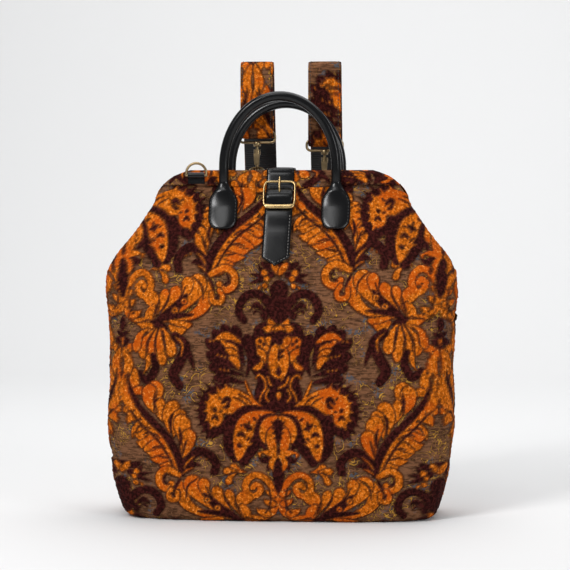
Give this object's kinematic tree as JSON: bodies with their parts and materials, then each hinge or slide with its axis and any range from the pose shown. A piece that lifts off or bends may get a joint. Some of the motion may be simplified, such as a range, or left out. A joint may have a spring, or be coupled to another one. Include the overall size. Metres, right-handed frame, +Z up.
{
  "type": "carpet backpack",
  "caption": "Soft carpet backpack with a hinged mouth frame, rolled leather handles, buckled closure strap and detachable back straps on swivel hooks.",
  "frame": {"origin": "centre of the base face", "axes": "+X to the right, front faces -Y, +Z up"},
  "size_m": [0.3836, 0.1745, 0.497],
  "materials": {
    "carpet": "woven pile",
    "webbing": "matte",
    "leather": "gloss",
    "board": "matte",
    "steel": "plain",
    "gold_brass": "polished",
    "antique_brass": "aged"
  },
  "bodies": {
    "bag": {"base_panel": "carpet", "base_board": "board", "front_panel": "carpet", "back_panel": "carpet", "lining": "webbing", "front_frame": "steel", "back_frame": "steel", "hinge_pins": "steel", "front_sleeve": "carpet", "back_sleeve": "carpet", "front_handle": "leather", "back_handle": "leather", "closure_strap": "leather", "buckle_frame": "gold_brass", "buckle_prong": "gold_brass", "buckle_chape": "leather", "front_ring_loop": "leather", "back_ring_loop": "leather", "left_top_tab": "leather", "right_top_tab": "leather", "left_top_ring": "antique_brass", "right_top_ring": "antique_brass", "left_top_loop": "antique_brass", "right_top_loop": "antique_brass", "left_strap_facing": "carpet", "right_strap_facing": "carpet", "left_strap_backing": "webbing", "right_strap_backing": "webbing", "left_lower_webbing": "webbing", "right_lower_webbing": "webbing", "left_lower_loop": "antique_brass", "right_lower_loop": "antique_brass", "left_lower_ring": "antique_brass", "right_lower_ring": "antique_brass", "left_lower_tab": "leather", "right_lower_tab": "leather"},
    "left_top_hook": {"left_top_hook": "antique_brass"},
    "left_top_gate": {"left_top_gate": "antique_brass"},
    "left_lower_hook": {"left_lower_hook": "antique_brass"},
    "left_lower_gate": {"left_lower_gate": "antique_brass"},
    "left_adjuster": {"left_adjuster": "antique_brass"},
    "right_top_hook": {"right_top_hook": "antique_brass"},
    "right_top_gate": {"right_top_gate": "antique_brass"},
    "right_lower_hook": {"right_lower_hook": "antique_brass"},
    "right_lower_gate": {"right_lower_gate": "antique_brass"},
    "right_adjuster": {"right_adjuster": "antique_brass"},
    "front_ring": {"front_ring": "antique_brass"},
    "back_ring": {"back_ring": "antique_brass"}
  },
  "joints": [
    {"name": "left_top_hook_swivel", "type": "hinge", "parent": "bag", "child": "left_top_hook", "pos_m": [-0.03, 0.03578, 0.379], "axis": [0, 0, 1], "range_deg": [-20, 20]},
    {"name": "left_top_gate_hinge", "type": "hinge", "parent": "left_top_hook", "child": "left_top_gate", "pos_m": [-0.03, 0.04078, 0.3872], "axis": [1, 0, 0], "range_deg": [-18, 0], "stiffness_Nm_per_rad": 0.0015, "springref_deg": 20.05},
    {"name": "left_lower_hook_swivel", "type": "hinge", "parent": "bag", "child": "left_lower_hook", "pos_m": [-0.03, 0.084, 0.038], "axis": [0, 0, 1], "range_deg": [-20, 20]},
    {"name": "left_lower_gate_hinge", "type": "hinge", "parent": "left_lower_hook", "child": "left_lower_gate", "pos_m": [-0.03, 0.089, 0.0462], "axis": [1, 0, 0], "range_deg": [-18, 0], "stiffness_Nm_per_rad": 0.0015, "springref_deg": 20.05},
    {"name": "left_adjuster_slide", "type": "slide", "parent": "bag", "child": "left_adjuster", "axis": [0, 0, 1], "range_m": [-0.018, 0.018]},
    {"name": "right_top_hook_swivel", "type": "hinge", "parent": "bag", "child": "right_top_hook", "pos_m": [0.045, 0.03808, 0.37], "axis": [0, 0, 1], "range_deg": [-20, 20]},
    {"name": "right_top_gate_hinge", "type": "hinge", "parent": "right_top_hook", "child": "right_top_gate", "pos_m": [0.045, 0.04308, 0.3782], "axis": [1, 0, 0], "range_deg": [-18, 0], "stiffness_Nm_per_rad": 0.0015, "springref_deg": 20.05},
    {"name": "right_lower_hook_swivel", "type": "hinge", "parent": "bag", "child": "right_lower_hook", "pos_m": [0.045, 0.084, 0.038], "axis": [0, 0, 1], "range_deg": [-20, 20]},
    {"name": "right_lower_gate_hinge", "type": "hinge", "parent": "right_lower_hook", "child": "right_lower_gate", "pos_m": [0.045, 0.089, 0.0462], "axis": [1, 0, 0], "range_deg": [-18, 0], "stiffness_Nm_per_rad": 0.0015, "springref_deg": 20.05},
    {"name": "right_adjuster_slide", "type": "slide", "parent": "bag", "child": "right_adjuster", "axis": [0, 0, 1], "range_m": [-0.018, 0.018]},
    {"name": "front_ring_swing", "type": "hinge", "parent": "bag", "child": "front_ring", "pos_m": [-0.0915, -0.01817, 0.37], "axis": [1, 0, 0], "range_deg": [0, 100]},
    {"name": "back_ring_swing", "type": "hinge", "parent": "bag", "child": "back_ring", "pos_m": [0.0915, 0.01817, 0.37], "axis": [-1, 0, 0], "range_deg": [-125, 15]}
  ]
}
